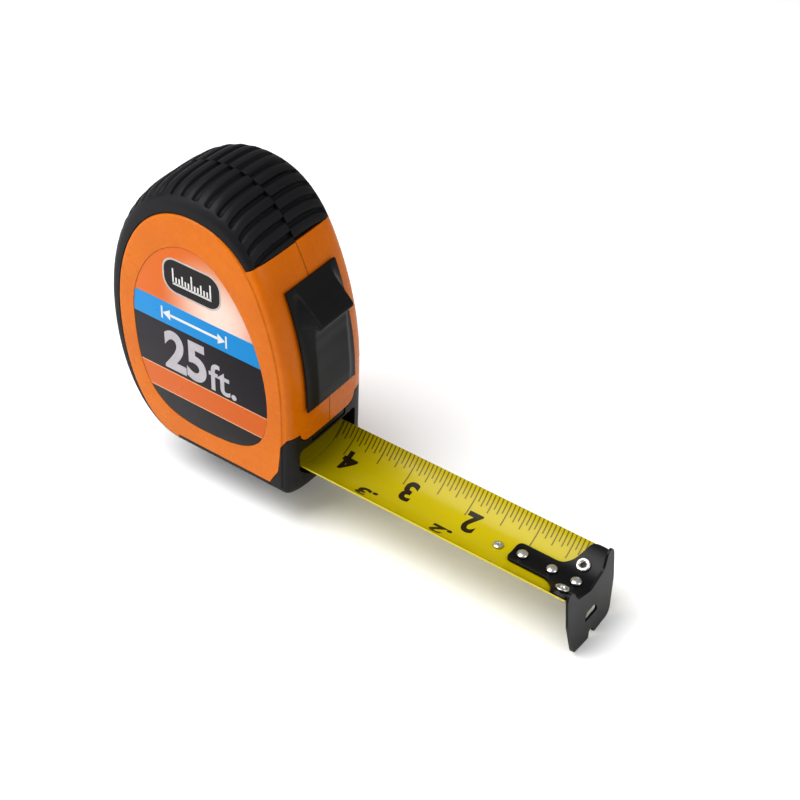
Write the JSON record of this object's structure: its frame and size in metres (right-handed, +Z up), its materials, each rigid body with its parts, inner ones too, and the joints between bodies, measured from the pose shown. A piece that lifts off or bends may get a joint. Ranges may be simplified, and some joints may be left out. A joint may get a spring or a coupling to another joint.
{
  "type": "tape measure",
  "caption": "Pocket tape measure: ribbed rubber-clad case, thumb lock, and a curved sprung blade run out four inches with a floating end hook.",
  "frame": {"origin": "on the flat base of the case, in the plane where the two halves meet, straight under the drum's axis", "axes": "+X the way the blade runs out of the mouth, +Y to the belt-clip side, +Z up"},
  "size_m": [0.1889, 0.0499, 0.1229],
  "materials": {
    "abs_orange": "satin moulded ABS",
    "rubber_black": "matt moulded thermoplastic rubber",
    "nylon_black": "fine moulded grain",
    "label_film": "printed polyester film",
    "acetal_white": "natural acetal",
    "blade_yellow": "yellow lacquer on spring steel",
    "steel_black": "black oxide and lacquer",
    "steel_bright": "nickel plate",
    "spring_steel": "rolled spring steel"
  },
  "bodies": {
    "case": {"case_left": "abs_orange", "case_right": "abs_orange", "grip_left": "rubber_black", "grip_right": "rubber_black", "mouth_foot": "nylon_black", "mouth_bumper": "rubber_black", "base_sole": "nylon_black", "label_left": "label_film", "axle_post": "spring_steel", "washer_left": "spring_steel", "washer_right": "spring_steel", "case_screw_1": "steel_bright", "case_screw_2": "steel_bright", "case_screw_3": "steel_bright", "clip_screw": "steel_bright", "blade_inner_run": "blade_yellow"},
    "lock": {"lock_button": "nylon_black", "brake_arm": "acetal_white", "brake_pad": "rubber_black"},
    "reel": {"drum": "acetal_white", "drum_cover": "acetal_white", "blade_coil": "blade_yellow", "mainspring": "spring_steel"},
    "tip": {"blade": "blade_yellow", "hook_rivet_1": "steel_bright", "hook_rivet_2": "steel_bright", "hook_rivet_3": "steel_bright", "hook_eyelet_left": "steel_bright", "hook_eyelet_right": "steel_bright", "blade_rivet": "steel_bright"},
    "end_hook": {"hook": "steel_black"},
    "clip": {"belt_clip": "steel_black"}
  },
  "joints": [
    {"name": "blade_slide", "type": "slide", "parent": "case", "child": "tip", "axis": [1, 0, 0], "range_m": [-0.1032, 0], "deforming": ["blade", "blade_inner_run"]},
    {"name": "reel_spin", "type": "hinge", "parent": "case", "child": "reel", "pos_m": [0, 0, 0.044], "axis": [0, 1, 0], "range_deg": [0, 194.5], "deforming": ["mainspring"]},
    {"name": "hook_float", "type": "slide", "parent": "tip", "child": "end_hook", "axis": [1, 0, 0], "range_m": [0, 0.001]},
    {"name": "thumb_lock", "type": "hinge", "parent": "case", "child": "lock", "pos_m": [-0.0744, 0, 0.034], "axis": [0, 1, 0], "range_deg": [0, 3.5]},
    {"name": "clip_flex", "type": "hinge", "parent": "case", "child": "clip", "pos_m": [0.0021, 0.024, 0.084], "axis": [1, 0, 0], "range_deg": [0, 6], "stiffness_Nm_per_rad": 3, "deforming": ["belt_clip"]}
  ],
  "couplings": [
    {"joint": "reel_spin", "follows": "blade_slide", "rad_per_m": -32.787}
  ]
}
